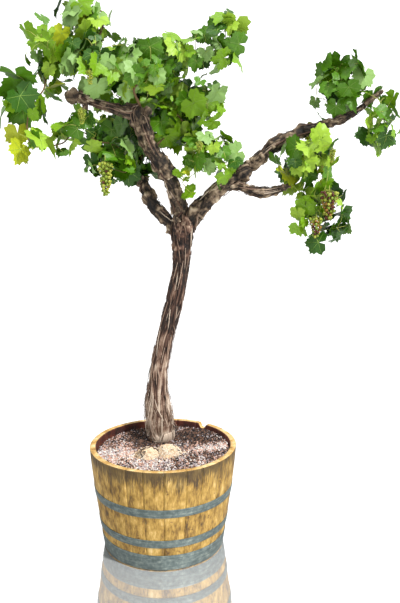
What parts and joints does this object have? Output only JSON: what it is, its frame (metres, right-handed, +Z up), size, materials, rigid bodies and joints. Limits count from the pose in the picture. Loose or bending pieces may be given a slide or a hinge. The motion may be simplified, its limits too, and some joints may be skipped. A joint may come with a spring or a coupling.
{
  "type": "potted grapevine",
  "caption": "Old grapevine trained as a small gnarled tree with spreading leafy boughs, growing in half an oak wine cask with steel hoops",
  "frame": {"origin": "the middle of the cask's flat underside, on the floor", "axes": "+Z up, -Y towards the front, +X to the right seen from the front"},
  "size_m": [1.7366, 0.8115, 2.485],
  "materials": {
    "oak": "weathered golden oak",
    "hoop_steel": "galvanised, dull blue grey",
    "soil": "loose soil with stone chips",
    "vine_wood": "stringy peeling bark",
    "foliage": "leaf"
  },
  "bodies": {
    "root": {"stave_01": "oak", "stave_02": "oak", "stave_03": "oak", "stave_04": "oak", "stave_05": "oak", "stave_06": "oak", "stave_07": "oak", "stave_08": "oak", "stave_09": "oak", "stave_10": "oak", "stave_11": "oak", "stave_12": "oak", "stave_13": "oak", "stave_14": "oak", "stave_15": "oak", "stave_16": "oak", "stave_17": "oak", "stave_18": "oak", "stave_19": "oak", "stave_20": "oak", "stave_21": "oak", "stave_22": "oak", "stave_23": "oak", "stave_24": "oak", "cask_bottom": "oak", "hoop_foot": "hoop_steel", "hoop_quarter": "hoop_steel", "hoop_upper": "hoop_steel", "soil": "soil", "trunk": "vine_wood", "bough_middle_lower": "vine_wood", "bough_middle_upper": "vine_wood", "arm_left": "vine_wood", "bough_left": "vine_wood", "bough_right_inner": "vine_wood", "bough_right_outer": "vine_wood", "bough_right_lower": "vine_wood", "leaves_far_left": "foliage", "leaves_low_left": "foliage", "leaves_upper_left": "foliage", "leaves_hanging_left": "foliage", "leaves_top": "foliage", "leaves_above_arm": "foliage", "leaves_under_arm": "foliage", "leaves_over_grapes": "foliage", "leaves_crown_middle": "foliage", "leaves_crown_front": "foliage", "leaves_crown_right": "foliage", "leaves_right_shoot": "foliage", "leaves_right_top": "foliage", "leaves_inner_right": "foliage", "leaves_right_side": "foliage", "leaves_right_low": "foliage", "leaves_before_fork": "foliage", "leaves_behind_boughs": "foliage", "leaves_back_of_crown": "foliage", "leaves_over_right_bough": "foliage", "leaves_right_tip": "foliage", "leaves_under_right_bough": "foliage", "leaves_right_hanging": "foliage"}
  },
  "joints": []
}
